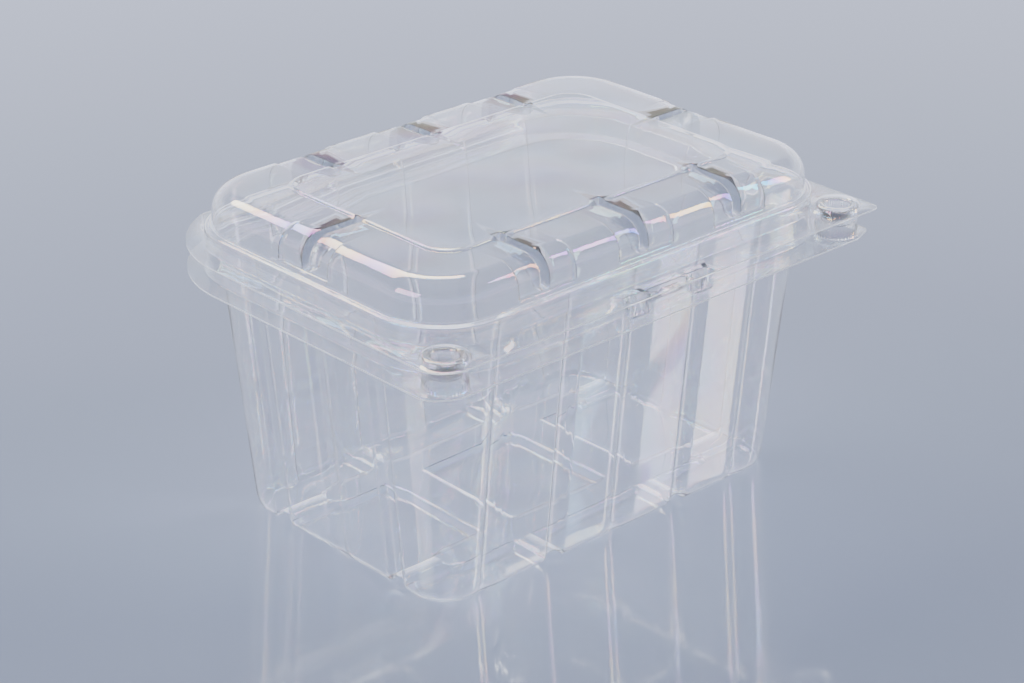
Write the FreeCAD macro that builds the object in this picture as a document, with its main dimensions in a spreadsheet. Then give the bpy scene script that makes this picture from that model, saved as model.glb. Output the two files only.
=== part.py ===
import FreeCAD, Part
import Sketcher
import math
import os

# Hinged clear clamshell pack for fresh produce.
# A fluted tub with a folded rim carries a domed, vented lid on a hinge fold along its back.
# X runs along the long sides, the front long side faces -Y, Z is up, the pack stands on Z = 0.

os.makedirs("parts", exist_ok=True)
doc = FreeCAD.newDocument("clamshell")
sheet = doc.addObject("Spreadsheet::Sheet", "Sizes")
Vector = FreeCAD.Vector
Constraint = Sketcher.Constraint
rows = []


# Sizes
def put(name, value):
    rows.append(name)
    cell = "A" + str(len(rows))
    sheet.set(cell, str(value))
    sheet.setAlias(cell, name)


def num(name):
    value = sheet.get(name)
    return float(getattr(value, "Value", value))


def tie(item, prop, name):
    item.setExpression(prop, "Sizes." + name)


# Driving sizes in millimetres and degrees
sizes = {
    # the formed sheet
    "nil": 0,
    "gauge": 0.45,
    # tub walls, half sizes at the floor and the lean of the walls
    "floor_x": 75,
    "floor_y": 49.5,
    "floor_corner": 12,
    "wall_lean": 5.5,
    "lip_level": 84.5,
    "foot_round": 3,
    # flutes pressed into the walls
    "flute_mouth": 3.8,
    "flute_floor": 2.1,
    "flute_depth": 2.2,
    "flute_pitch": 28,
    "flutes_long": 5,
    "flutes_short": 3,
    # raised channels that part the floor into feet and pads
    "channel_rise": 2.3,
    "cross_inner": 19.3,
    "cross_outer": 35.5,
    "along_inner": 21.8,
    "along_outer": 35,
    "along_half": 57,
    "gate_cross": 27.6,
    "gate_along": 28.2,
    "gate_half": 4.6,
    # rim of the tub: an upright folded bead with a flat lip at its foot
    "bead_level": 99.2,
    "bead_width": 2.45,
    "bead_lean": 3.5,
    "lip_x": 94.5,
    "lip_y": 68.9,
    "lip_sharp": 3,
    "lip_blunt": 6,
    # hinge fold along the back
    "hinge_y": 71.6,
    "hinge_level": 89,
    "hinge_half": 70,
    "hinge_bead": 1.1,
    "hinge_gap": 0.3,
    "back_side": 33,
    "back_round": 42,
    # lid flange, riser, dome and raised top panel
    "lid_level": 93.5,
    "lid_x": 94.5,
    "lid_y": 72.6,
    "lid_sharp": 2.5,
    "lid_blunt": 9.6,
    "rim_gap": 0.4,
    "seat_gap": 0.05,
    "riser_lean": 2,
    "ledge_width": 2.4,
    "dome_lean": 4,
    "dome_level": 111.8,
    "shoulder": 7.5,
    "panel_x": 63.4,
    "panel_y": 39.3,
    "panel_corner": 10,
    "panel_rise": 0.7,
    # vent stations across the shoulder
    "vent_pitch": 41.2,
    "vents_long": 3,
    "vent_half": 11.2,
    "vent_sink": 1.2,
    "vent_foot": 101.3,
    "slot_half": 1.7,
    "slot_reach": 22.9,
    "slot_top": 108.9,
    "slot_knee": 10.1,
    "slot_knee_level": 106.6,
    "slot_hip": 6.8,
    "slot_hip_level": 104.4,
    "slot_heel": 5.6,
    "slot_thin": 0.85,
    "vent_over": 4,
    # snap buttons at both front corners
    "snap_x": 84.4,
    "snap_y": 63,
    "cap_radius": 7.6,
    "cap_rise": 1.6,
    "cup_radius": 4.4,
    "cup_floor": 90,
    "snap_gap": 0.4,
    "socket_floor": 89,
    "ear_radius": 8.2,
    # latch tab on the front edge of the lid
    "latch_inner": 9,
    "latch_outer": 18.3,
    "latch_depth": 5.2,
    "latch_foot": 88,
    "bridge_set_back": 2.6,
    "bridge_foot": 90.4,
    # counts and working overlaps
    "flute_over": 1,
    "pair": 2,
}
for name, value in sizes.items():
    put(name, value)

# Values worked out from the sizes
put("wall_angle", "=wall_lean * 1 deg")
put("minus_lean", "=-wall_angle")
put("bead_angle", "=-bead_lean * 1 deg")
put("riser_angle", "=-riser_lean * 1 deg")
put("dome_angle", "=-dome_lean * 1 deg")
put("gauge_in", "=gauge / cos(wall_angle) - gauge * tan(wall_angle)")
put("lean_run", "=bead_level * tan(wall_angle)")
put("cavity_x", "=floor_x - gauge_in")
put("cavity_y", "=floor_y - gauge_in")
put("cavity_corner", "=floor_corner - gauge_in")
put("cavity_rise", "=bead_level")
put("cavity_round", "=foot_round - gauge")
put("bead_rise", "=bead_level - lip_level")
put("bead_run", "=bead_width + bead_rise * tan(bead_lean * 1 deg)")
put("bead_x", "=floor_x + lean_run + bead_run")
put("bead_y", "=floor_y + lean_run + bead_run")
put("bead_corner", "=floor_corner + lean_run + bead_run")
put("hollow_x", "=bead_x - gauge")
put("hollow_y", "=bead_y - gauge")
put("hollow_corner", "=bead_corner - gauge")
put("hollow_rise", "=bead_rise - gauge")

# lid riser kept clear of the bead, dome stepped in from it
put("riser_run", "=rim_gap + gauge - (lid_level - lip_level) * tan(bead_lean * 1 deg)")
put("ledge_level", "=bead_level + seat_gap + gauge")
put("riser_x", "=bead_x + riser_run")
put("riser_y", "=bead_y + riser_run")
put("riser_corner", "=bead_corner + riser_run")
put("riser_rise", "=ledge_level - lid_level")
put("dome_rise", "=dome_level - ledge_level")
put("dome_x", "=riser_x - ledge_width")
put("dome_y", "=riser_y - ledge_width")
put("dome_corner", "=riser_corner - ledge_width")
put("riser_x_in", "=riser_x - gauge")
put("riser_y_in", "=riser_y - gauge")
put("riser_corner_in", "=riser_corner - gauge")
put("riser_rise_in", "=riser_rise - gauge")
put("ledge_level_in", "=ledge_level - gauge")
put("dome_level_in", "=dome_level - gauge")
put("shoulder_in", "=shoulder - gauge")
put("dome_x_in", "=dome_x - gauge")
put("dome_y_in", "=dome_y - gauge")
put("dome_corner_in", "=dome_corner - gauge")
put("panel_x_in", "=panel_x - gauge")
put("panel_y_in", "=panel_y - gauge")
put("panel_corner_in", "=panel_corner - gauge")

# flute sections, seen along the wall: mouth, floor and the same grown by the sheet
put("flute_slope", "=(flute_mouth - flute_floor) / flute_depth")
put("flute_skin", "=gauge * sqrt(1 + flute_slope ^ 2)")
put("flute_wide", "=flute_mouth + flute_slope * flute_over")
put("flute_wide_in", "=flute_wide + flute_skin")
put("flute_floor_in", "=flute_floor - flute_slope * gauge + flute_skin")
put("flute_depth_in", "=flute_depth + gauge")
put("flute_outside", "=-flute_over")
put("flute_run", "=bead_level * 3")
put("row_long", "=flute_pitch * (flutes_long - 1)")
put("row_short", "=flute_pitch * (flutes_short - 1)")
put("start_long", "=-row_long / 2")
put("start_short", "=-row_short / 2")
put("front_wall", "=-floor_y")
put("left_wall", "=-floor_x")
for name in ("flute_wide", "flute_floor", "flute_wide_in", "flute_floor_in"):
    put("minus_" + name, "=-" + name)

# floor channels and their gates, for the outside and the inside of the sheet
put("gate_cross_span", "=2 * gate_cross")
put("gate_along_span", "=2 * gate_along")
for side, skin in (("out", "nil"), ("in", "gauge")):
    put("cross_near_" + side, "=cross_inner - " + skin)
    put("cross_far_" + side, "=cross_outer + " + skin)
    put("cross_front_" + side, "=-along_outer - " + skin)
    put("cross_back_" + side, "=along_outer + " + skin)
    put("along_near_" + side, "=along_inner - " + skin)
    put("along_far_" + side, "=along_outer + " + skin)
    put("along_left_" + side, "=-along_half - " + skin)
    put("along_right_" + side, "=along_half + " + skin)
    put("gate_left_" + side, "=-gate_cross - gate_half - " + skin)
    put("gate_right_" + side, "=-gate_cross + gate_half + " + skin)
    put("gate_front_" + side, "=-gate_along - gate_half - " + skin)
    put("gate_back_" + side, "=-gate_along + gate_half + " + skin)
put("gate_outside_y", "=-floor_y - foot_round")
put("gate_inside_y", "=-along_outer + flute_over")
put("gate_outside_x", "=-floor_x - foot_round")
put("gate_inside_x", "=-along_half + flute_over")

# outline of the lip, lower hinge web and snap posts
put("lip_front", "=-lip_y")
put("lip_left", "=-lip_x")
put("lip_front_left", "=-lip_x + lip_blunt")
put("lip_front_right", "=lip_x - lip_sharp")
put("lip_side_right", "=-lip_y + lip_sharp")
put("lip_side_left", "=-lip_y + lip_blunt")
put("web_back", "=hinge_y - hinge_bead / 2 + gauge")
put("web_front", "=web_back - gauge")
put("back_start", "=back_side")
put("hinge_right", "=hinge_half")
put("hinge_left", "=-hinge_half")
put("web_rise", "=hinge_level - hinge_bead - hinge_gap - lip_level")
put("post_radius", "=cap_radius - gauge - snap_gap")
put("socket_radius", "=cup_radius + snap_gap")
put("post_radius_in", "=post_radius - gauge")
put("socket_radius_out", "=socket_radius + gauge")
put("post_rise", "=lid_level + cap_rise - snap_gap - lip_level")
put("post_rise_in", "=post_rise - gauge")
put("post_top", "=lip_level + post_rise")
put("socket_depth", "=post_top - socket_floor")
put("socket_under", "=socket_floor - gauge - lip_level")
put("snap_left", "=-snap_x")
put("snap_front", "=-snap_y")

# vent stations: recess and groove
put("vent_half_in", "=vent_half + gauge")
put("slot_half_in", "=slot_half + gauge")
put("slot_skin", "=gauge * slot_thin")
put("vent_inset", "=dome_rise * tan(dome_lean * 1 deg) + shoulder * tan((90 - dome_lean) * 0.5 deg)")
put("vent_axis_level", "=dome_level - shoulder")
put("over_level", "=dome_level + vent_over")
put("vent_foot_in", "=vent_foot - gauge")
for way in ("x", "y"):
    put("vent_axis_" + way, "=dome_" + way + " - vent_inset - vent_sink")
    put("vent_beyond_" + way, "=dome_" + way + " + vent_over")
for way in ("x", "y"):
    put("vent_side_" + way + "_out", "=vent_axis_" + way + " + shoulder")
    put("vent_side_" + way + "_in", "=vent_axis_" + way + " + shoulder - gauge")
for side, skin in (("out", "nil"), ("in", "slot_skin")):
    put("slot_top_" + side, "=slot_top - " + skin)
    put("slot_knee_level_" + side, "=slot_knee_level - " + skin)
    put("slot_hip_level_" + side, "=slot_hip_level - " + skin)
    for way in ("x", "y"):
        for spot in ("reach", "knee", "hip", "heel"):
            put("slot_" + spot + "_" + way + "_" + side, "=dome_" + way + " - slot_" + spot + " - " + skin)
put("minus_pitch", "=-vent_pitch")
put("vent_row", "=vent_pitch * (vents_long - 1)")
put("vent_width_out", "=2 * vent_half")
put("vent_width_in", "=2 * vent_half_in")
put("slot_width_out", "=2 * slot_half")
put("slot_width_in", "=2 * slot_half_in")

# outline of the lid flange, snap caps, latch and upper hinge web
put("lid_front", "=-lid_y")
put("lid_left", "=-lid_x")
put("lid_front_left", "=-lid_x + lid_blunt")
put("lid_front_right", "=lid_x - lid_sharp")
put("lid_side_right", "=-lid_y + lid_sharp")
put("lid_side_left", "=-lid_y + lid_blunt")
put("cap_height", "=gauge + cap_rise")
put("cap_height_in", "=cap_rise")
put("cap_radius_in", "=cap_radius - gauge")
put("cup_radius_in", "=cup_radius - gauge")
put("cap_top", "=lid_level + gauge + cap_rise")
put("cup_drop", "=cap_top - cup_floor")
put("cup_depth", "=cup_drop - gauge")
put("latch_rise", "=lid_level - latch_foot")
put("bridge_rise", "=lid_level - bridge_foot")
put("latch_right_end", "=latch_outer")
put("latch_left_end", "=-latch_outer")
put("latch_left_start", "=-latch_inner")
put("latch_back", "=-lid_y + latch_depth")
put("bridge_front", "=-lid_y + bridge_set_back")
put("latch_near_in", "=latch_inner + gauge")
put("latch_far_in", "=latch_outer - gauge")
put("latch_front_in", "=-lid_y + gauge")
put("latch_back_in", "=latch_back - gauge")
put("bridge_front_in", "=bridge_front + gauge")
put("bridge_left_in", "=-latch_near_in")
put("bridge_right_in", "=latch_near_in")
put("latch_depth_in", "=lid_level - latch_foot")
put("bridge_depth_in", "=lid_level - bridge_foot")
put("lid_skin_level", "=lid_level + gauge")
put("upper_web_rise", "=lid_level - hinge_level")
put("hinge_span", "=2 * hinge_half")
doc.recompute()


# Sketch helpers: every corner or radius is held by a named size
def plane(body, role):
    return [f for f in body.Origin.OriginFeatures if f.Role == role][0]


def sketch_on(body, name, role, level):
    item = body.newObject("Sketcher::SketchObject", name)
    item.AttachmentSupport = (plane(body, role), [""])
    item.MapMode = "FlatFace"
    tie(item, "AttachmentOffset.Base.z", level)
    return item


def hold(item, kind, geo, pos, name):
    index = item.addConstraint(Constraint(kind, -1, 1, geo, pos, num(name)))
    tie(item, "Constraints[" + str(index) + "]", name)


def rounded(item, half_x, half_y, radius):
    x, y, r = num(half_x), num(half_y), num(radius)
    first = item.GeometryCount
    up = Vector(0, 0, 1)
    quarter = math.pi / 2
    shapes = [
        Part.LineSegment(Vector(x, r - y, 0), Vector(x, y - r, 0)),
        Part.ArcOfCircle(Part.Circle(Vector(x - r, y - r, 0), up, r), 0, quarter),
        Part.LineSegment(Vector(x - r, y, 0), Vector(r - x, y, 0)),
        Part.ArcOfCircle(Part.Circle(Vector(r - x, y - r, 0), up, r), quarter, 2 * quarter),
        Part.LineSegment(Vector(-x, y - r, 0), Vector(-x, r - y, 0)),
        Part.ArcOfCircle(Part.Circle(Vector(r - x, r - y, 0), up, r), 2 * quarter, 3 * quarter),
        Part.LineSegment(Vector(r - x, -y, 0), Vector(x - r, -y, 0)),
        Part.ArcOfCircle(Part.Circle(Vector(x - r, r - y, 0), up, r), 3 * quarter, 4 * quarter),
    ]
    item.addGeometry(shapes, False)
    rules = [Constraint("Tangent", first + i, 2, first + (i + 1) % 8, 1) for i in range(8)]
    rules += [Constraint("Vertical", first), Constraint("Horizontal", first + 2)]
    rules += [Constraint("Vertical", first + 4), Constraint("Horizontal", first + 6)]
    rules += [Constraint("Equal", first + 1, first + i) for i in (3, 5, 7)]
    rules += [Constraint("Symmetric", first, 1, first + 4, 1, -1, 1)]
    item.addConstraint(rules)
    hold(item, "DistanceX", first, 1, half_x)
    hold(item, "DistanceY", first + 2, 1, half_y)
    index = item.addConstraint(Constraint("Radius", first + 1, r))
    tie(item, "Constraints[" + str(index) + "]", radius)


def arc_between(a, b, radius):
    # arc from a to b on the left-turning side
    mid = (a + b) * 0.5
    span = b - a
    half = span.Length / 2
    side = Vector(-span.y, span.x, 0).normalize()
    centre = mid + side * math.sqrt(max(radius ** 2 - half ** 2, 0))
    start = math.atan2(a.y - centre.y, a.x - centre.x)
    end = math.atan2(b.y - centre.y, b.x - centre.x)
    if end < start:
        end += 2 * math.pi
    return Part.ArcOfCircle(Part.Circle(centre, Vector(0, 0, 1), radius), start, end)


def outline(item, corners):
    # corners: (x size, y size, radius size of the arc to the next corner or None), anticlockwise
    count = len(corners)
    first = item.GeometryCount
    points = [Vector(num(c[0]), num(c[1]), 0) for c in corners]
    shapes = []
    for i, corner in enumerate(corners):
        a, b = points[i], points[(i + 1) % count]
        shapes.append(arc_between(a, b, num(corner[2])) if corner[2] else Part.LineSegment(a, b))
    item.addGeometry(shapes, False)
    item.addConstraint(
        [Constraint("Coincident", first + i, 2, first + (i + 1) % count, 1) for i in range(count)])
    for i, corner in enumerate(corners):
        hold(item, "DistanceX", first + i, 1, corner[0])
        hold(item, "DistanceY", first + i, 1, corner[1])
        if corner[2]:
            index = item.addConstraint(Constraint("Radius", first + i, num(corner[2])))
            tie(item, "Constraints[" + str(index) + "]", corner[2])


def circle(item, x, y, radius):
    index = item.addGeometry(Part.Circle(Vector(num(x), num(y), 0), Vector(0, 0, 1), num(radius)), False)
    hold(item, "DistanceX", index, 3, x)
    hold(item, "DistanceY", index, 3, y)
    rule = item.addConstraint(Constraint("Radius", index, num(radius)))
    tie(item, "Constraints[" + str(rule) + "]", radius)


# Feature helpers
def pad(body, name, profile, length, lean=None, reverse=False, both=False):
    item = body.newObject("PartDesign::Pad", name)
    item.Profile = profile
    tie(item, "Length", length)
    if lean:
        tie(item, "TaperAngle", lean)
    item.Reversed = reverse
    item.Midplane = both
    body.Tip = item
    doc.recompute()
    return item


def pocket(body, name, profile, length, reverse=False, both=False):
    item = body.newObject("PartDesign::Pocket", name)
    item.Profile = profile
    tie(item, "Length", length)
    item.Reversed = reverse
    item.Midplane = both
    body.Tip = item
    doc.recompute()
    return item


def round_edges(body, name, base, radius, pick):
    edges = ["Edge" + str(i + 1) for i, e in enumerate(base.Shape.Edges) if pick(e.BoundBox)]
    item = body.newObject("PartDesign::Fillet", name)
    item.Base = (base, edges)
    tie(item, "Radius", radius)
    body.Tip = item
    doc.recompute()
    return item


def repeat(body, name, feature, role, length, count, mirror):
    item = body.newObject("PartDesign::MultiTransform", name)
    item.Originals = [feature]
    body.Tip = item
    steps = []
    if count:
        row = body.newObject("PartDesign::LinearPattern", name + "_row")
        row.Direction = (plane(body, role), [""])
        tie(row, "Length", length)
        tie(row, "Occurrences", count)
        steps.append(row)
    if mirror:
        other = body.newObject("PartDesign::Mirrored", name + "_mirror")
        other.MirrorPlane = (plane(body, mirror), [""])
        steps.append(other)
    item.Transformations = steps
    body.Tip = item
    doc.recompute()
    return item


def flute_sketch(body, name, along_x, wide, floor, depth):
    # section of one flute on a plane that leans with the wall
    item = body.newObject("Sketcher::SketchObject", name)
    item.AttachmentSupport = (plane(body, "XY_Plane"), [""])
    item.MapMode = "FlatFace"
    axis = Vector(1, 0, 0) if along_x else Vector(0, 1, 0)
    item.AttachmentOffset = FreeCAD.Placement(Vector(0, 0, 0), FreeCAD.Rotation(axis, 1))
    tie(item, "AttachmentOffset.Rotation.Angle", "wall_angle" if along_x else "minus_lean")
    tie(item, "AttachmentOffset.Base.x", "start_long" if along_x else "left_wall")
    tie(item, "AttachmentOffset.Base.y", "front_wall" if along_x else "start_short")
    doc.recompute()
    corners = [("minus_" + wide, "flute_outside"), (wide, "flute_outside"),
               (floor, depth), ("minus_" + floor, depth)]
    if not along_x:
        corners = [(c[1], c[0]) for c in reversed(corners)]
    outline(item, [(c[0], c[1], None) for c in corners])
    return item


def boxed(item, left, right, front, back):
    outline(item, [(left, front, None), (right, front, None), (right, back, None), (left, back, None)])


# Tub: the form is drawn once for the outside of the sheet and once for the inside


def tub_form(name, side, level, x, y, corner, rise, foot, wide, floor, depth):
    body = doc.addObject("PartDesign::Body", name)
    base = sketch_on(body, name + "_floor", "XY_Plane", level)
    rounded(base, x, y, corner)
    walls = pad(body, name + "_walls", base, rise, "wall_angle")
    bottom = num(level) + num("seat_gap")
    round_edges(body, name + "_foot", walls, foot, lambda b: b.ZMax < bottom)
    section = flute_sketch(body, name + "_long_section", True, wide, floor, depth)
    cut = pocket(body, name + "_long_flute", section, "flute_run", both=True)
    repeat(body, name + "_long_flutes", cut, "X_Axis", "row_long", "flutes_long", "XZ_Plane")
    section = flute_sketch(body, name + "_short_section", False, wide, floor, depth)
    cut = pocket(body, name + "_short_flute", section, "flute_run", both=True)
    repeat(body, name + "_short_flutes", cut, "Y_Axis", "row_short", "flutes_short", "YZ_Plane")
    section = sketch_on(body, name + "_cross_section", "XY_Plane", level)
    boxed(section, "cross_near_" + side, "cross_far_" + side, "cross_front_" + side, "cross_back_" + side)
    cut = pocket(body, name + "_cross_channel", section, "channel_rise", reverse=True)
    repeat(body, name + "_cross_channels", cut, None, None, None, "YZ_Plane")
    section = sketch_on(body, name + "_along_section", "XY_Plane", level)
    boxed(section, "along_left_" + side, "along_right_" + side, "along_near_" + side, "along_far_" + side)
    cut = pocket(body, name + "_along_channel", section, "channel_rise", reverse=True)
    repeat(body, name + "_along_channels", cut, None, None, None, "XZ_Plane")
    section = sketch_on(body, name + "_gate_section", "XY_Plane", level)
    boxed(section, "gate_left_" + side, "gate_right_" + side, "gate_outside_y", "gate_inside_y")
    cut = pocket(body, name + "_gate", section, "channel_rise", reverse=True)
    repeat(body, name + "_gates", cut, "X_Axis", "gate_cross_span", "pair", "XZ_Plane")
    section = sketch_on(body, name + "_end_section", "XY_Plane", level)
    boxed(section, "gate_outside_x", "gate_inside_x", "gate_front_" + side, "gate_back_" + side)
    cut = pocket(body, name + "_end_gate", section, "channel_rise", reverse=True)
    repeat(body, name + "_end_gates", cut, "Y_Axis", "gate_along_span", "pair", "YZ_Plane")
    return body


tub = tub_form("tub", "out", "nil", "floor_x", "floor_y", "floor_corner", "bead_level", "foot_round",
               "flute_wide", "flute_floor", "flute_depth")
cavity = tub_form("cavity", "in", "gauge", "cavity_x", "cavity_y", "cavity_corner", "cavity_rise",
                  "cavity_round", "flute_wide_in", "flute_floor_in", "flute_depth_in")

# Rim: flat lip, upright bead hollow underneath, snap posts and the lower hinge web


def circles(item, radius):
    for x in ("snap_left", "snap_x"):
        circle(item, x, "snap_front", radius)


rim = doc.addObject("PartDesign::Body", "rim")
section = sketch_on(rim, "lip_outline", "XY_Plane", "lip_level")
outline(section, [("lip_front_left", "lip_front", None), ("lip_front_right", "lip_front", "lip_sharp"),
                  ("lip_x", "lip_side_right", None), ("lip_x", "back_start", "back_round"),
                  ("hinge_right", "web_back", None), ("hinge_left", "web_back", "back_round"),
                  ("lip_left", "back_start", None), ("lip_left", "lip_side_left", "lip_blunt")])
pad(rim, "lip", section, "gauge")
section = sketch_on(rim, "bead_outline", "XY_Plane", "lip_level")
rounded(section, "bead_x", "bead_y", "bead_corner")
pad(rim, "bead", section, "bead_rise", "bead_angle")
section = sketch_on(rim, "ear_outline", "XY_Plane", "lip_level")
circles(section, "ear_radius")
pad(rim, "ears", section, "gauge")
section = sketch_on(rim, "post_outline", "XY_Plane", "lip_level")
circles(section, "post_radius")
pad(rim, "posts", section, "post_rise")
section = sketch_on(rim, "hinge_outline", "XY_Plane", "lip_level")
boxed(section, "hinge_left", "hinge_right", "web_front", "web_back")
pad(rim, "hinge_web", section, "web_rise")
section = sketch_on(rim, "bead_hollow_outline", "XY_Plane", "lip_level")
rounded(section, "hollow_x", "hollow_y", "hollow_corner")
item = pocket(rim, "bead_hollow", section, "hollow_rise", reverse=True)
tie(item, "TaperAngle", "bead_angle")
section = sketch_on(rim, "post_hollow_outline", "XY_Plane", "lip_level")
circles(section, "post_radius_in")
pocket(rim, "post_hollow", section, "socket_under", reverse=True)
section = sketch_on(rim, "post_wall_outline", "XY_Plane", "lip_level")
circles(section, "post_radius_in")
circles(section, "socket_radius_out")
pocket(rim, "post_wall", section, "post_rise_in", reverse=True)
section = sketch_on(rim, "socket_outline", "XY_Plane", "post_top")
circles(section, "socket_radius")
pocket(rim, "socket", section, "socket_depth")

# Lid: the form is drawn once for the outside of the sheet and once for the inside


def vent_profiles(body, name, side, way, role, level, ends):
    # the recess across the shoulder, then the narrow groove in the middle of it
    foot, top, bend = ends
    recess = sketch_on(body, name + "_vent_section_" + way, role, level)
    arc_end = "vent_side_" + way + "_" + side
    outline(recess, [(arc_end, "vent_axis_level", bend), ("vent_axis_" + way, top, None),
                     ("vent_axis_" + way, "over_level", None), ("vent_beyond_" + way, "over_level", None),
                     ("vent_beyond_" + way, foot, None), (arc_end, foot, None)])
    groove = sketch_on(body, name + "_slot_section_" + way, role, level)
    tail = "_" + way + "_" + side
    outline(groove, [("slot_reach" + tail, "over_level", None),
                     ("slot_reach" + tail, "slot_top_" + side, None),
                     ("slot_knee" + tail, "slot_knee_level_" + side, None),
                     ("slot_hip" + tail, "slot_hip_level_" + side, None),
                     ("slot_heel" + tail, foot, None), ("vent_beyond_" + way, foot, None),
                     ("vent_beyond_" + way, "over_level", None)])
    return recess, groove


def lid_form(name, side, sizes, ends):
    riser, riser_rise, ledge, dome, bend, flat, panel = sizes
    body = doc.addObject("PartDesign::Body", name)
    section = sketch_on(body, name + "_riser_outline", "XY_Plane", "lid_level")
    rounded(section, riser[0], riser[1], riser[2])
    pad(body, name + "_riser", section, riser_rise, "riser_angle")
    section = sketch_on(body, name + "_dome_outline", "XY_Plane", ledge)
    rounded(section, dome[0], dome[1], dome[2])
    walls = pad(body, name + "_dome", section, "dome_rise", "dome_angle")
    crown = num(flat) - num("seat_gap")
    round_edges(body, name + "_shoulder", walls, bend, lambda b: b.ZMin > crown)
    section = sketch_on(body, name + "_panel_outline", "XY_Plane", flat)
    rounded(section, panel[0], panel[1], panel[2])
    pad(body, name + "_panel", section, "panel_rise")
    recess, groove = vent_profiles(body, name, side, "y", "YZ_Plane", "minus_pitch", ends)
    cut = pocket(body, name + "_vent", recess, "vent_width_" + side, both=True)
    repeat(body, name + "_vents", cut, "X_Axis", "vent_row", "vents_long", "XZ_Plane")
    cut = pocket(body, name + "_slot", groove, "slot_width_" + side, both=True)
    repeat(body, name + "_slots", cut, "X_Axis", "vent_row", "vents_long", "XZ_Plane")
    recess, groove = vent_profiles(body, name, side, "x", "XZ_Plane", "nil", ends)
    cut = pocket(body, name + "_end_vent", recess, "vent_width_" + side, both=True)
    repeat(body, name + "_end_vents", cut, None, None, None, "YZ_Plane")
    cut = pocket(body, name + "_end_slot", groove, "slot_width_" + side, both=True)
    repeat(body, name + "_end_slots", cut, None, None, None, "YZ_Plane")
    return body


top_form = lid_form("lid_top", "out", (
    ("riser_x", "riser_y", "riser_corner"), "riser_rise", "ledge_level",
    ("dome_x", "dome_y", "dome_corner"), "shoulder", "dome_level",
    ("panel_x", "panel_y", "panel_corner")), ("vent_foot", "dome_level", "shoulder"))
under_form = lid_form("lid_under", "in", (
    ("riser_x_in", "riser_y_in", "riser_corner_in"), "riser_rise_in", "ledge_level_in",
    ("dome_x_in", "dome_y_in", "dome_corner_in"), "shoulder_in", "dome_level_in",
    ("panel_x_in", "panel_y_in", "panel_corner_in")), ("vent_foot_in", "dome_level_in", "shoulder_in"))

# Flange of the lid: snap caps, latch tab, upper hinge web and the fold bead on the hinge line

flange = doc.addObject("PartDesign::Body", "flange")
section = sketch_on(flange, "flange_outline", "XY_Plane", "lid_level")
outline(section, [("lid_front_left", "lid_front", None), ("lid_front_right", "lid_front", "lid_sharp"),
                  ("lid_x", "lid_side_right", None), ("lid_x", "back_start", "back_round"),
                  ("hinge_right", "web_back", None), ("hinge_left", "web_back", "back_round"),
                  ("lid_left", "back_start", None), ("lid_left", "lid_side_left", "lid_blunt")])
pad(flange, "flange_plate", section, "gauge")
section = sketch_on(flange, "cap_outline", "XY_Plane", "lid_level")
circles(section, "cap_radius")
pad(flange, "caps", section, "cap_height")
section = sketch_on(flange, "cup_outline", "XY_Plane", "cup_floor")
circles(section, "cup_radius")
pad(flange, "cups", section, "cup_drop")
section = sketch_on(flange, "cap_hollow_outline", "XY_Plane", "lid_level")
circles(section, "cap_radius_in")
circles(section, "cup_radius")
pocket(flange, "cap_hollow", section, "cap_height_in", reverse=True)
section = sketch_on(flange, "cup_hollow_outline", "XY_Plane", "cap_top")
circles(section, "cup_radius_in")
pocket(flange, "cup_hollow", section, "cup_depth")
section = sketch_on(flange, "latch_outline", "XY_Plane", "latch_foot")
boxed(section, "latch_inner", "latch_right_end", "lid_front", "latch_back")
boxed(section, "latch_left_end", "latch_left_start", "lid_front", "latch_back")
pad(flange, "latch_blocks", section, "latch_rise")
section = sketch_on(flange, "bridge_outline", "XY_Plane", "bridge_foot")
boxed(section, "latch_left_start", "latch_inner", "bridge_front", "latch_back")
pad(flange, "latch_bridge", section, "bridge_rise")
section = sketch_on(flange, "latch_hollow_outline", "XY_Plane", "lid_skin_level")
boxed(section, "latch_near_in", "latch_far_in", "latch_front_in", "latch_back_in")
item = pocket(flange, "latch_hollow", section, "latch_depth_in")
repeat(flange, "latch_hollows", item, None, None, None, "YZ_Plane")
section = sketch_on(flange, "bridge_hollow_outline", "XY_Plane", "lid_skin_level")
boxed(section, "bridge_left_in", "bridge_right_in", "bridge_front_in", "latch_back_in")
pocket(flange, "bridge_hollow", section, "bridge_depth_in")
section = sketch_on(flange, "upper_web_outline", "XY_Plane", "hinge_level")
boxed(section, "hinge_left", "hinge_right", "web_front", "web_back")
pad(flange, "upper_web", section, "upper_web_rise")
section = sketch_on(flange, "fold_section", "YZ_Plane", "nil")
circle(section, "hinge_y", "hinge_level", "hinge_bead")
pad(flange, "fold_bead", section, "hinge_span", both=True)


# Each sheet is its outside form and rim with the inside form taken out
def sheet_of(name, forms, inside):
    whole = doc.addObject("Part::MultiFuse", name + "_whole")
    whole.Shapes = forms
    item = doc.addObject("Part::Cut", name)
    item.Base = whole
    item.Tool = inside
    item.Label = name
    doc.recompute()
    return item


tray = sheet_of("tray", [tub, rim], cavity)
lid = sheet_of("lid", [top_form, flange], under_form)

faulty = [f.Name for f in doc.Objects if "Invalid" in f.State or "Error" in f.State]
if faulty:
    raise RuntimeError("features not made: " + ", ".join(faulty))
for node in (tray, lid):
    shape = node.Shape
    if shape.isNull() or not shape.isValid() or len(shape.Solids) != 1:
        raise RuntimeError(node.Label + " is not one sound solid")
    shape.exportStep("parts/" + node.Label + ".step")
    print(node.Label, round(shape.Volume, 1), len(shape.Faces), shape.BoundBox)
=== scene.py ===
import math
import bpy
import bmesh
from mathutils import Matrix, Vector
from mathutils.geometry import delaunay_2d_cdt


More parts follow.
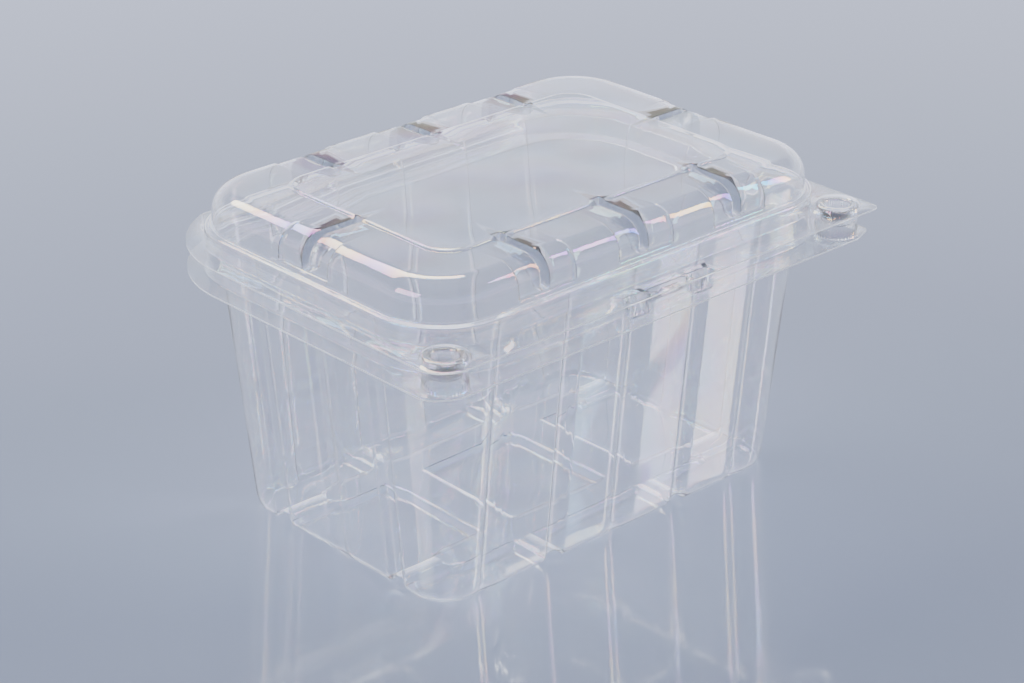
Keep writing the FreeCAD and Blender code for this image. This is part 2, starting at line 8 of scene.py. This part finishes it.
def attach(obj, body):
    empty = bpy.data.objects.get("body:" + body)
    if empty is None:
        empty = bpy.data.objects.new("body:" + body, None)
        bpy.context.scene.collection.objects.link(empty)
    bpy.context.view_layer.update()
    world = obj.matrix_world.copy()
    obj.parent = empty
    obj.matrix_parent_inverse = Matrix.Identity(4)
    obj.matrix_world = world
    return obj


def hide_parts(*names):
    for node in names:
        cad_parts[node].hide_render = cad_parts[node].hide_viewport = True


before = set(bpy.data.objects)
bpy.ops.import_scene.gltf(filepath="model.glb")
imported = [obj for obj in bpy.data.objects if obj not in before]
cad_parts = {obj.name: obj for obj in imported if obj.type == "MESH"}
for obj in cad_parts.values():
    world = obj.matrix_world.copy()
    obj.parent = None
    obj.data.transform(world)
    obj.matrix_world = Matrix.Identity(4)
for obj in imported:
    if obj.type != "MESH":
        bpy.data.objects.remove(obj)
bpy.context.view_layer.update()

# Table top.
# A smooth grey-lavender laminate with a soft sheen, wide enough to reach past the picture.
laminate = bpy.data.materials.new("table_top")
laminate.use_nodes = True
tree = laminate.node_tree
shader = tree.nodes["Principled BSDF"]
shader.inputs["Base Color"].default_value = (0.112, 0.13, 0.182, 1)
shader.inputs["IOR"].default_value = 1.9
place = tree.nodes.new("ShaderNodeTexCoord")
grain = tree.nodes.new("ShaderNodeTexNoise")
grain.inputs["Scale"].default_value = 900
sheen = tree.nodes.new("ShaderNodeMapRange")
sheen.inputs["To Min"].default_value = 0.03
sheen.inputs["To Max"].default_value = 0.08
tree.links.new(place.outputs["Object"], grain.inputs["Vector"])
tree.links.new(grain.outputs["Fac"], sheen.inputs["Value"])
tree.links.new(sheen.outputs["Result"], shader.inputs["Roughness"])
bpy.ops.mesh.primitive_plane_add(size=6, location=(0, 0, 0))
table = bpy.context.object
table.name = "table"
table.data.materials.append(laminate)

# Studio surround.
# Soft lavender walls, pale near the table and overhead, darker in between.
world = bpy.data.worlds.new("studio")
bpy.context.scene.world = world
world.use_nodes = True
tree = world.node_tree
background = tree.nodes["Background"]
background.inputs["Strength"].default_value = 0.85
place = tree.nodes.new("ShaderNodeTexCoord")
axes = tree.nodes.new("ShaderNodeSeparateXYZ")
ramp = tree.nodes.new("ShaderNodeValToRGB")
tree.links.new(place.outputs["Generated"], axes.inputs[0])
tree.links.new(axes.outputs["Z"], ramp.inputs["Fac"])
tree.links.new(ramp.outputs["Color"], background.inputs["Color"])
bands = ramp.color_ramp.elements
low_wall = (2.35, 2.45, 3.0, 1)
bands[0].position, bands[0].color = 0.0, low_wall
bands[1].position, bands[1].color = 1.0, (0.62, 0.65, 0.76, 1)
middle_bands = ((0.3, low_wall), (0.5, (0.6, 0.64, 0.8, 1)), (0.72, (0.28, 0.31, 0.4, 1)))
for position, color in middle_bands:
    band = bands.new(position)
    band.color = color

# Softboxes.
# A broad one above and behind, one from the left and a narrow one from the right front.


def softbox(name, place, aim, size, power):
    light = bpy.data.lights.new(name, "AREA")
    light.shape = "RECTANGLE"
    light.size, light.size_y = size
    light.energy = power
    item = bpy.data.objects.new(name, light)
    bpy.context.collection.objects.link(item)
    item.location = place
    item.rotation_euler = (Vector(aim) - Vector(place)).to_track_quat("-Z", "Y").to_euler()


softbox("softbox_back", place=(0.25, 0.95, 1.15), aim=(0, 0, 0.05), size=(1.2, 0.42), power=40)
softbox("softbox_left", place=(-1.1, 0.15, 0.75), aim=(0, 0, 0.05), size=(0.8, 0.4), power=22)
softbox("softbox_right", place=(1.0, -0.75, 0.7), aim=(0, 0, 0.06), size=(0.2, 0.9), power=22)

# Camera.
# At the photograph's angle, as it was fitted to the outlines of the pack.
azimuth, height = math.radians(-42.71), math.radians(25.07)
distance = 1.0077
target = Vector((0.0737, 0.0802, 0))
back = Vector((math.sin(azimuth) * math.cos(height),
               -math.cos(azimuth) * math.cos(height),
               math.sin(height)))
lens = bpy.data.cameras.new("camera")
lens.sensor_width = 36
lens.lens = 95.7
lens.clip_start = 0.01
camera = bpy.data.objects.new("camera", lens)
bpy.context.collection.objects.link(camera)
camera.location = target + back * distance
camera.rotation_euler = back.to_track_quat("Z", "Y").to_euler()
bpy.context.scene.camera = camera

# Clear sheet.
# Thin clear polyester, formed glossy: almost colourless, gently uneven where it was drawn, with a
# faint rainbow in the stretched walls. Light passes through it onto the table.
clear = bpy.data.materials.new("clear_sheet")
clear.use_nodes = True
tree = clear.node_tree
shader = tree.nodes["Principled BSDF"]
shader.inputs["Base Color"].default_value = (0.985, 0.985, 1.0, 1)
shader.inputs["Roughness"].default_value = 0.0
shader.inputs["Transmission Weight"].default_value = 1.0
shader.inputs["IOR"].default_value = 1.575
shader.inputs["Thin Film IOR"].default_value = 1.35
place = tree.nodes.new("ShaderNodeTexCoord")
ripple = tree.nodes.new("ShaderNodeTexNoise")
ripple.inputs["Scale"].default_value = 42
ripple.inputs["Detail"].default_value = 0
film = tree.nodes.new("ShaderNodeMapRange")
film.inputs["To Min"].default_value = 200
film.inputs["To Max"].default_value = 480
tree.links.new(place.outputs["Object"], ripple.inputs["Vector"])
tree.links.new(ripple.outputs["Fac"], film.inputs["Value"])
tree.links.new(film.outputs["Result"], shader.inputs["Thin Film Thickness"])
haze = tree.nodes.new("ShaderNodeBsdfTranslucent")
haze.inputs["Color"].default_value = (0.93, 0.95, 1.0, 1)
grazing = tree.nodes.new("ShaderNodeLayerWeight")
grazing.inputs["Blend"].default_value = 0.35
bloom = tree.nodes.new("ShaderNodeMapRange")
bloom.inputs["To Max"].default_value = 0.055
mix = tree.nodes.new("ShaderNodeMixShader")
swell = tree.nodes.new("ShaderNodeBump")
swell.inputs["Strength"].default_value = 0.3
swell.inputs["Distance"].default_value = 0.0012
rays = tree.nodes.new("ShaderNodeLightPath")
passing = tree.nodes.new("ShaderNodeBsdfTransparent")
passing.inputs["Color"].default_value = (0.9, 0.91, 0.93, 1)
light_mix = tree.nodes.new("ShaderNodeMixShader")
tree.links.new(ripple.outputs["Fac"], swell.inputs["Height"])
tree.links.new(swell.outputs["Normal"], shader.inputs["Normal"])
tree.links.new(rays.outputs["Is Shadow Ray"], light_mix.inputs["Fac"])
tree.links.new(grazing.outputs["Facing"], bloom.inputs["Value"])
tree.links.new(bloom.outputs["Result"], mix.inputs["Fac"])
tree.links.new(shader.outputs["BSDF"], mix.inputs[1])
tree.links.new(haze.outputs["BSDF"], mix.inputs[2])
tree.links.new(mix.outputs["Shader"], light_mix.inputs[1])
tree.links.new(passing.outputs["BSDF"], light_mix.inputs[2])
tree.links.new(light_mix.outputs["Shader"], tree.nodes["Material Output"].inputs["Surface"])

# Cut edge of the sheet.
# Where the pack was punched out of the formed web the edge is rough and catches the light.
cut_edge = bpy.data.materials.new("cut_edge")
cut_edge.use_nodes = True
shader = cut_edge.node_tree.nodes["Principled BSDF"]
shader.inputs["Base Color"].default_value = (0.88, 0.9, 0.97, 1)
shader.inputs["Roughness"].default_value = 0.35
shader.inputs["Transmission Weight"].default_value = 0.45

# Tray.
# The fluted tub with its folded rim, formed from one clear sheet: a floor parted into feet and pads
# by raised channels, leaning walls with flutes, an upright bead, a flat lip and two snap posts.
MM = 0.001
SEAM = 0.00003
# From here on lengths are in millimetres, and levels are those of the middle of the sheet.
SHEET = 0.4
STRAIGHT_X, STRAIGHT_Y, CORNER = 63.0, 37.5, 12.0
BASE_X, BASE_Y = STRAIGHT_X + CORNER, STRAIGHT_Y + CORNER
FLOOR_LEVEL, LIP_LEVEL = 0.225, 84.725
FOOT_ROUND, FOOT_START = 2.8, -3.1
CHANNEL_RISE = 2.3
CHANNEL_ROUND = -0.9, 0.5
CROSS_INNER, CROSS_OUTER = 19.3, 35.5
ALONG_INNER, ALONG_OUTER, ALONG_HALF = 21.8, 35, 57
GATE_LONG, GATE_SHORT, GATE_HALF = 27.6, 28.2, 4.6
GATE_EDGE = 4.1, 5.1
FLUTES_LONG, FLUTES_SHORT = (-56, -28, 0, 28, 56), (-28, 0, 28)
FLUTE_DEPTH = 2.2
FLUTE_EDGE = 2.0, 3.9
SNAP_X, SNAP_Y = 84.4, 63
SIDE, BACK = 94.5, 71.275
BACK_ROUND, BACK_START = 42, 33
BOSS_STEPS = 40


def smooth(value, low, high):
    share = min(max((value - low) / (high - low), 0.0), 1.0)
    return share * share * (3 - 2 * share)


def columns(long_stops, short_stops, corner_steps):
    """Stations round a rounded rectangle: (straight x, straight y, turn x, turn y, run, side)."""
    found = []
    turns = [math.pi / 2 * (i + 1) / (corner_steps + 1) for i in range(corner_steps)]
    sides = ((1, 0), (0, 1), (-1, 0), (0, -1))
    for number, (nx, ny) in enumerate(sides):
        for stop in (short_stops if nx else long_stops):
            run = stop * (1 if number in (0, 3) else -1)
            sx = STRAIGHT_X * nx if nx else run
            sy = run if nx else STRAIGHT_Y * ny
            found.append((sx, sy, nx, ny, run, "short" if nx else "long"))
        start = math.atan2(ny, nx)
        cx = STRAIGHT_X * (1 if number in (0, 3) else -1)
        cy = STRAIGHT_Y * (1 if number in (0, 1) else -1)
        for turn in turns:
            angle = start + turn
            found.append((cx, cy, math.cos(angle), math.sin(angle), None, "corner"))
    return found


def stops(half, centres, steps, gap):
    """Stations along one straight side, closer together beside each formed edge."""
    marks = {-half, half}
    for centre in centres:
        marks.update(centre + s for s in steps if abs(centre + s) < half)
    marks = sorted(marks)
    full = []
    for a, b in zip(marks, marks[1:]):
        count = max(1, math.ceil((b - a) / gap))
        full += [a + (b - a) * i / count for i in range(count)]
    return full + [marks[-1]]


def mirrored(values):
    return [-v for v in values] + list(values)


def ring_points(stations, level, shape):
    """One ring: shape gives (distance out of the base line, height) at a station."""
    points = []
    for sx, sy, nx, ny, run, side in stations:
        out, height = shape(level, run, side)
        points.append((sx + nx * (CORNER + out), sy + ny * (CORNER + out), height))
    return points


def skin_rings(mesh, rings):
    """A wall through rings that have the same stations."""
    rows = [[mesh.verts.new([c * MM for c in p]) for p in ring] for ring in rings]
    for low, high in zip(rows, rows[1:]):
        for i in range(len(low)):
            j = (i + 1) % len(low)
            mesh.faces.new((low[i], low[j], high[j], high[i]))


def skin_patch(mesh, loops, points, keep):
    """Flat or gently formed ground between closed loops, with more points where it is shaped."""
    flat, heights, edges = [], [], []
    for loop in loops:
        first = len(flat)
        flat += [Vector(p[:2]) for p in loop]
        heights += [p[2] for p in loop]
        edges += [(first + i, first + (i + 1) % len(loop)) for i in range(len(loop))]
    flat += [Vector(p[:2]) for p in points]
    heights += [p[2] for p in points]
    full_hull, nearest = 0, 1e-4
    corners, _, faces, origin, _, _ = delaunay_2d_cdt(flat, edges, [], full_hull, nearest)
    verts = [mesh.verts.new((c.x * MM, c.y * MM, heights[o[0]] * MM))
             for c, o in zip(corners, origin)]
    for face in faces:
        x = sum(corners[i].x for i in face) / len(face)
        y = sum(corners[i].y for i in face) / len(face)
        if keep(x, y):
            mesh.faces.new([verts[i] for i in face])


def skin_strip(mesh, runs, profile):
    """A straight strip along X, from (y, height) pairs."""
    rows = [[mesh.verts.new((x * MM, y * MM, z * MM)) for x in runs] for y, z in profile]
    for low, high in zip(rows, rows[1:]):
        for i in range(len(low) - 1):
            mesh.faces.new((low[i], low[i + 1], high[i + 1], high[i]))


def in_rounded(x, y, half_x, half_y, radius):
    dx = max(abs(x) - half_x + radius, 0)
    dy = max(abs(y) - half_y + radius, 0)
    return abs(x) < half_x and abs(y) < half_y and math.hypot(dx, dy) < radius


def in_base(x, y, out):
    return in_rounded(x, y, BASE_X + out, BASE_Y + out, CORNER + out)


def sheet_piece(name, mesh, body, node, material):
    """Closes the seams, gives the sheet its thickness and hands the finished piece over."""
    bmesh.ops.remove_doubles(mesh, verts=mesh.verts, dist=SEAM)
    loose = [v for v in mesh.verts if not v.link_faces]
    bmesh.ops.delete(mesh, geom=loose, context="VERTS")
    bmesh.ops.recalc_face_normals(mesh, faces=mesh.faces)
    data = bpy.data.meshes.new(name)
    mesh.to_mesh(data)
    mesh.free()
    item = bpy.data.objects.new(name, data)
    bpy.context.collection.objects.link(item)
    thick = item.modifiers.new("sheet", "SOLIDIFY")
    thick.thickness = SHEET * MM
    thick.offset = 0
    thick.material_offset_rim = 1
    item.data.materials.append(material)
    item.data.materials.append(cut_edge)
    depsgraph = bpy.context.evaluated_depsgraph_get()
    done = bpy.data.meshes.new_from_object(item.evaluated_get(depsgraph))
    item.modifiers.clear()
    item.data = done
    done.name = name
    done.shade_smooth()
    done.set_sharp_from_angle(angle=math.radians(50))
    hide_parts(node)
    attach(item, body)
    return item


def arc(cx, cy, radius, start, end, steps):
    angles = [math.radians(start + (end - start) * i / steps) for i in range(steps + 1)]
    return [(cx + radius * math.cos(a), cy + radius * math.sin(a)) for a in angles]


def outline(front, blunt, sharp, level, ear):
    """Edge of the lip or flange: ears or none at the front, big rounded corners at the back."""
    line = []
    if ear:
        line += [(x, front) for x in range(-75, 76, 5)]
        reach = math.degrees(math.asin((abs(front) - SNAP_Y) / ear))
        line += arc(SNAP_X, -SNAP_Y, ear, 180 + reach, 360 - reach, 16)
    else:
        line += [(x, front) for x in range(-80, 81, 4)]
    line += arc(SIDE - sharp, front + sharp, sharp, 270, 360, 5)
    line += [(SIDE, y) for y in range(-60, 30, 6)]
    top = math.degrees(math.asin((BACK - BACK_START) / BACK_ROUND))
    line += arc(SIDE - BACK_ROUND, BACK_START, BACK_ROUND, 0, top, 16)
    line += [(x, BACK) for x in range(65, -70, -5)]
    line += arc(BACK_ROUND - SIDE, BACK_START, BACK_ROUND, 180 - top, 180, 16)
    line += [(-SIDE, y) for y in range(24, -58, -6)]
    line += arc(blunt - SIDE, front + blunt, blunt, 180, 270, 8)
    if ear:
        line += arc(-SNAP_X, -SNAP_Y, ear, 180 + reach, 360 - reach, 16)
    clean, nearest = [], 0.3
    for x, y in line:
        if not clean or math.hypot(x - clean[-1][0], y - clean[-1][1]) > nearest:
            clean.append((x, y, level))
    return clean


def turned(profile, steps):
    """Points of a round boss or cup at both front corners, from (radius, height) pairs."""
    points = []
    for cx in (-SNAP_X, SNAP_X):
        for number, (radius, height) in enumerate(profile):
            if radius == 0:
                points.append((cx, -SNAP_Y, height))
                continue
            for i in range(steps):
                angle = 2 * math.pi * (i + 0.5 * (number % 2)) / steps
                points.append((cx + radius * math.cos(angle),
                               -SNAP_Y + radius * math.sin(angle), height))
    return points


# Raised channels in one quarter of the floor, and the pad in its middle:
# (centre x, centre y, half x, half y, corner).
channels = ((27.4, 0, 8.1, ALONG_OUTER, 3),
            (0, 28.4, ALONG_HALF, 6.6, 3),
            (GATE_LONG, 45, GATE_HALF, 14, 1),
            (66, GATE_SHORT, 14, GATE_HALF, 1))
middle_pad = (0, 0, CROSS_INNER, ALONG_INNER, 5)


def channel_height(x, y):
    x, y = abs(x), abs(y)

    def box(cx, cy, half_x, half_y, radius):
        dx, dy = abs(x - cx) - half_x + radius, abs(y - cy) - half_y + radius
        return math.hypot(max(dx, 0), max(dy, 0)) + min(max(dx, dy), 0) - radius

    reach = min(box(*channel) for channel in channels)
    pads = max(reach, -box(*middle_pad))
    return FLOOR_LEVEL + CHANNEL_RISE * (1 - smooth(pads, *CHANNEL_ROUND))


def tub_shape(level, run, side):
    """Level is (out, height, flute depth); channels lift the foot where they leave the floor."""
    out, height, depth = level
    if run is None:
        return out, height
    pitch = min(abs(run - c) for c in (FLUTES_LONG if side == "long" else FLUTES_SHORT))
    out -= depth * (1 - smooth(pitch, *FLUTE_EDGE))
    gate = abs(abs(run) - (GATE_LONG if side == "long" else GATE_SHORT))
    lift = 1 - smooth(gate, *GATE_EDGE)
    return out, max(height, FLOOR_LEVEL + CHANNEL_RISE * lift)


bm = bmesh.new()
flute_steps = (-3.9, -3.4, -2.9, -2.4, -1.9, 0, 1.9, 2.4, 2.9, 3.4, 3.9)
gate_steps = (-5.1, -4.6, -4.1, 4.1, 4.6, 5.1)
long_stops = stops(STRAIGHT_X, FLUTES_LONG, flute_steps, 4)
short_stops = stops(STRAIGHT_Y, FLUTES_SHORT, flute_steps, 4)
for centre in (-GATE_LONG, GATE_LONG):
    long_stops = sorted(set(long_stops) | {centre + s for s in gate_steps})
for centre in (-GATE_SHORT, GATE_SHORT):
    short_stops = sorted(set(short_stops) | {centre + s for s in gate_steps})
around = columns(long_stops, short_stops, 12)

# Rings up the wall, over the bead and down to the lip: (out, height, flute depth).
foot_turns = [math.radians(d) for d in (0, 14, 28, 42, 56, 70, 84.5)]
levels = [(FOOT_START + FOOT_ROUND * math.sin(a), FLOOR_LEVEL + FOOT_ROUND * (1 - math.cos(a)),
           FLUTE_DEPTH * smooth(a, 0.1, 1.2)) for a in foot_turns]
lean, wall_in = math.tan(math.radians(5.5)), 0.226
wall = (4.5, 8, 9.5, 10.5, 14, 24, 36, 50, 64, 78, 88, 93)
levels += [(z * lean - wall_in, z, FLUTE_DEPTH) for z in wall]
flute_end = 94, 97.6
levels += [(z * lean - wall_in, z, FLUTE_DEPTH * (1 - smooth(z, *flute_end)))
           for z in (94.5, 95.6, 96.6, 97.4)]
bead_in, bead_out, bead_side, bead_lean = 9.25, 11.87, 98.3, 0.061
bead_top = ((0.1, 98.3), (0.35, 98.75), (0.8, 98.97), (1.9, 98.97), (2.4, 98.75), (2.62, 98.3))
levels += [(bead_in + d, z, 0) for d, z in bead_top]
levels += [(bead_out + (bead_side - z) * bead_lean, z, 0) for z in (96, 92, 88, 86)]
levels += [(12.74, 85.4, 0), (12.9, 85.0, 0), (13.2, 84.78, 0), (13.55, LIP_LEVEL, 0)]
rings = [ring_points(around, level, tub_shape) for level in levels]
skin_rings(bm, rings)

# Floor, inside the first ring.
edge_steps = (-1.0, -0.5, 0, 0.5, 1.0)
edges_x = mirrored((CROSS_INNER, CROSS_OUTER, ALONG_HALF, 23.0, 32.2))
edges_y = mirrored((ALONG_INNER, ALONG_OUTER, 23.6, 32.8))
grid_x = stops(71, edges_x, edge_steps, 4)
grid_y = stops(45.6, edges_y, edge_steps, 4)
ground = [(x, y, channel_height(x, y)) for x in grid_x for y in grid_y if in_base(x, y, -3.9)]
skin_patch(bm, [rings[0]], ground, lambda x, y: in_base(x, y, -3.0))

# Lip with its two posts, outside the last ring, and the lower hinge web.
post = ((7.3, LIP_LEVEL), (6.95, 84.85), (6.7, 85.4), (6.6, 89), (6.52, 93.7), (6.35, 94.3),
        (5.95, 94.45), (5.5, 94.45), (5.2, 94.2), (5.05, 93.6), (4.95, 90), (4.8, 89.2),
        (4.3, 88.82), (3, 88.78), (0, 88.78))
edge = outline(front=-68.9, blunt=6, sharp=3, level=LIP_LEVEL, ear=8.2)
skin_patch(bm, [edge, rings[-1]], turned(post, BOSS_STEPS), lambda x, y: not in_base(x, y, 13.5))
hinge_runs = [-70.0] + list(range(-65, 66, 5)) + [70.0]
lower_web = [(BACK, LIP_LEVEL), (BACK, 85.6), (70.95, 85.9), (70.8, 86.3), (70.95, 86.7),
             (BACK, 87.0), (BACK, 87.4)]
skin_strip(bm, hinge_runs, lower_web)
sheet_piece("tray_sheet", bm, "tray", "tray", clear)

# Groove walls of the vents: painted shade.
# A copy of the clear sheet, tinted grey and without the rainbow film, so the groove walls read dark.
painted_shade_sheet = clear.copy()
painted_shade_sheet.name = "clear_sheet_painted_shade"
painted_shade_bsdf = painted_shade_sheet.node_tree.nodes["Principled BSDF"]
# Grey tint: painted shade, darker than the clear sheet.
painted_shade_bsdf.inputs["Base Color"].default_value = (0.6, 0.63, 0.69, 1)
for link in list(painted_shade_bsdf.inputs["Thin Film Thickness"].links):
    painted_shade_sheet.node_tree.links.remove(link)
painted_shade_bsdf.inputs["Thin Film Thickness"].default_value = 0

# Lid.
# The other half of the formed sheet: a flange with snap caps and latch, a riser over the bead and a
# low dome whose shoulder is crossed by eight recesses, each with a narrow vent groove.
FLANGE_LEVEL, TOP_LEVEL = 93.725, 111.575
VENTS_LONG, VENTS_SHORT = (-41.2, 0.0, 41.2), (0.0,)
RECESS_EDGE = 10.9, 11.6
GROOVE_EDGE = 1.5, 1.95
GROOVE_END = -12.6, -11.9
SHOULDER, SHOULDER_LEVEL, SHOULDER_STEPS = 7.275, 104.3, 22
FOOT = (10.45, 100.7)
PANEL_X, PANEL_Y, PANEL_CORNER, PANEL_RISE = 53.4, 29.3, 10, 0.7


def resample(line, count):
    """The same line with its points evenly apart."""
    spans = [math.hypot(b[0] - a[0], b[1] - a[1]) for a, b in zip(line, line[1:])]
    total, found = sum(spans), []
    for i in range(count + 1):
        left = total * i / count
        for (a, b), span in zip(zip(line, line[1:]), spans):
            if left <= span or (a, b) == (line[-2], line[-1]):
                share = min(left / span, 1)
                found.append((a[0] + (b[0] - a[0]) * share, a[1] + (b[1] - a[1]) * share))
                break
            left -= span
    return found


# Sections across the shoulder, as (out, height): plain, in a recess and in its groove.
plain = resample([(2.0, TOP_LEVEL)] + arc(2.95, SHOULDER_LEVEL, SHOULDER, 90, 0, 12) + [FOOT],
                 SHOULDER_STEPS)
recess = resample([(2.0, 111.56)] + arc(1.75, SHOULDER_LEVEL, SHOULDER, 86, 0, 12)
                  + [(9.05, 101.5), (9.25, 101.2), (10.2, 101.1), FOOT], SHOULDER_STEPS)
groove = resample([(2.0, 105.75), (4.0, 104.4), (5.2, 101.7), (5.5, 101.3), (9.8, 101.15), FOOT],
                  SHOULDER_STEPS)


def station(run, side):
    """Distance along the side from the middle of the nearest vent."""
    centre = min(VENTS_LONG if side == "long" else VENTS_SHORT, key=lambda c: abs(run - c))
    return abs(run - centre)


def lid_shape(level, run, side):
    """Level is a step down the shoulder, or (out, height) below it."""
    if isinstance(level, tuple):
        return level
    out, height = plain[level]
    if run is None:
        return out, height
    away = station(run, side)
    for line, edge in ((recess, RECESS_EDGE), (groove, GROOVE_EDGE)):
        share = 1 - smooth(away, *edge)
        out += (line[level][0] - out) * share
        height += (line[level][1] - height) * share
    return out, height


def groove_floor(out):
    """Level of a groove's floor: a gentle fall from its end, then a steeper one past the knee."""
    knee = 0.7
    return 108.9 - (out + 12.1) * 0.18 if out < knee else 106.6 - (out - knee) * 0.667


def crown_height(x, y):
    """Height of the flat top: the raised panel and the ends of the vent grooves."""
    dx, dy = abs(x) - PANEL_X, abs(y) - PANEL_Y
    gap = math.hypot(max(dx, 0), max(dy, 0)) + min(max(dx, dy), 0) - PANEL_CORNER
    height = TOP_LEVEL + PANEL_RISE * (1 - smooth(gap, -0.45, 0.45))
    for away, out in ((station(x, "long"), abs(y) - BASE_Y), (station(y, "short"), abs(x) - BASE_X)):
        if out > GROOVE_END[0]:
            share = (1 - smooth(away, *GROOVE_EDGE)) * smooth(out, *GROOVE_END)
            height += (groove_floor(out) - height) * share
    return height


bm = bmesh.new()
vent_steps = mirrored((1.3, 1.5, 1.65, 1.8, 1.95, 2.2, 10.6, 10.9, 11.15, 11.35, 11.6, 11.9))
around = columns(stops(STRAIGHT_X, VENTS_LONG, vent_steps, 3.5),
                 stops(STRAIGHT_Y, VENTS_SHORT, vent_steps, 3.5), 14)
levels = list(range(SHOULDER_STEPS + 1))
# Ledge, riser over the bead and flange below the shoulder: (out, height).
levels += [(10.5, 100.2), (10.62, 99.8), (10.95, 99.53), (11.5, 99.475), (12.2, 99.46),
           (12.55, 99.3), (12.72, 98.9), (12.8, 97), (12.9, 95), (12.96, 94.3), (13.06, 93.9),
           (13.35, FLANGE_LEVEL)]
rings = [ring_points(around, level, lid_shape) for level in levels]
skin_rings(bm, rings)

# Flat top: points along the panel's edge, along and across the grooves, and a coarse grid.
crown = []
corners = ((PANEL_X, PANEL_Y, 0), (-PANEL_X, PANEL_Y, 90),
           (-PANEL_X, -PANEL_Y, 180), (PANEL_X, -PANEL_Y, 270))
for step in (-0.9, -0.45, -0.2, 0, 0.2, 0.45, 0.9):
    radius = PANEL_CORNER + step
    for cx, cy, start in corners:
        crown += [(cx + a, cy + b) for a, b in arc(0, 0, radius, start, start + 90, 12)]
    crown += [(x, s * (PANEL_Y + radius)) for x in range(-50, 51, 5) for s in (-1, 1)]
    crown += [(s * (PANEL_X + radius), y) for y in range(-25, 26, 5) for s in (-1, 1)]
across = mirrored((0.7, 1.5, 1.65, 1.8, 1.95, 2.3))
down = (-13.2, -12.7, -12.4, -12.1, -11.8, -11.2, -10.6, -10.0, -8, -5, -2, 0, 0.8, 1.4)
for step in down:
    crown += [(c + a, s * (BASE_Y + step)) for c in VENTS_LONG for a in across for s in (-1, 1)]
    crown += [(s * (BASE_X + step), c + a) for c in VENTS_SHORT for a in across for s in (-1, 1)]
crown += [(x, y) for x in range(-50, 51, 10) for y in range(-24, 25, 8)]
crown = [(x, y, crown_height(x, y)) for x, y in crown if in_base(x, y, 1.7)]
skin_patch(bm, [rings[0]], crown, lambda x, y: in_base(x, y, 2.05))

# Flange with the snap caps, the latch's two blocks and the bridge between them.
cap = ((7.75, FLANGE_LEVEL), (7.5, 93.95), (7.38, 94.4), (7.3, 94.9), (7.05, 95.25), (6.6, 95.33),
       (5.4, 95.33), (4.8, 95.2), (4.45, 94.8), (4.3, 94.2), (4.15, 91.2), (3.95, 90.6),
       (3.5, 90.28), (2.4, 90.22), (0, 90.22))
points = turned(cap, BOSS_STEPS)


def pressed(cx, cy, half_x, half_y, steps):
    """A rounded block pressed down from the flange, from (inset, height) pairs."""
    found = []
    for inset, height in steps:
        a, b = half_x - inset, half_y - inset
        radius = max(min(1.0, b) - inset * 0.2, 0.3)
        for sx, sy, start in ((1, 1, 0), (-1, 1, 90), (-1, -1, 180), (1, -1, 270)):
            found += [(cx + sx * (a - radius) + px, cy + sy * (b - radius) + py, height)
                      for px, py in arc(0, 0, radius, start, start + 90, 4)]
        found += [(cx + t * (a - radius), cy + s * b, height)
                  for t in (-0.5, 0, 0.5) for s in (-1, 1)]
        found += [(cx + s * a, cy, height) for s in (-1, 1)]
    return found


block = ((0, FLANGE_LEVEL), (0.15, 93.5), (0.25, 92.8), (0.4, 89.2), (0.6, 88.6), (1.0, 88.3),
         (1.5, 88.23))
bridge = ((0, FLANGE_LEVEL), (0.12, 93.4), (0.25, 91.3), (0.45, 90.8), (0.8, 90.62))
for cx in (-13.65, 13.65):
    points += pressed(cx, -69.7, 4.65, 2.4, block)
points += pressed(0, -68.75, 8.2, 1.25, bridge)
edge = outline(front=-72.4, blunt=9.6, sharp=2.5, level=FLANGE_LEVEL, ear=None)
skin_patch(bm, [edge, rings[-1]], points, lambda x, y: not in_base(x, y, 13.3))

# Upper hinge web and the fold bead round the hinge line.
hinge_y, hinge_level, bead_round = 71.6, 89.0, 0.88
fold = [(hinge_y + a, hinge_level + b) for a, b in arc(0, 0, bead_round, 112, 425, 18)]
upper_web = [(BACK, FLANGE_LEVEL), (BACK, 92.4), (70.95, 92.0), (70.8, 91.5), (70.95, 91.0),
             (BACK, 90.6), (BACK, 90.1)]
skin_strip(bm, hinge_runs, upper_web + fold)
lid_sheet = sheet_piece("lid_sheet", bm, "lid", "lid", clear)

# The side walls of the grooves take the grey-tinted copy of the sheet: painted shade.
lid_sheet.data.materials.append(painted_shade_sheet)
painted_shade_index = len(lid_sheet.data.materials) - 1
for face in lid_sheet.data.polygons:
    x, y, z = (c / MM for c in face.center)
    for side, run, out, tilt in (("long", x, abs(y) - BASE_Y, face.normal.x),
                                 ("short", y, abs(x) - BASE_X, face.normal.y)):
        beside = 1.4 < station(run, side) < 2.05
        if beside and -12 < out < 10 and z > 102 and abs(tilt) > 0.45:
            face.material_index = painted_shade_index
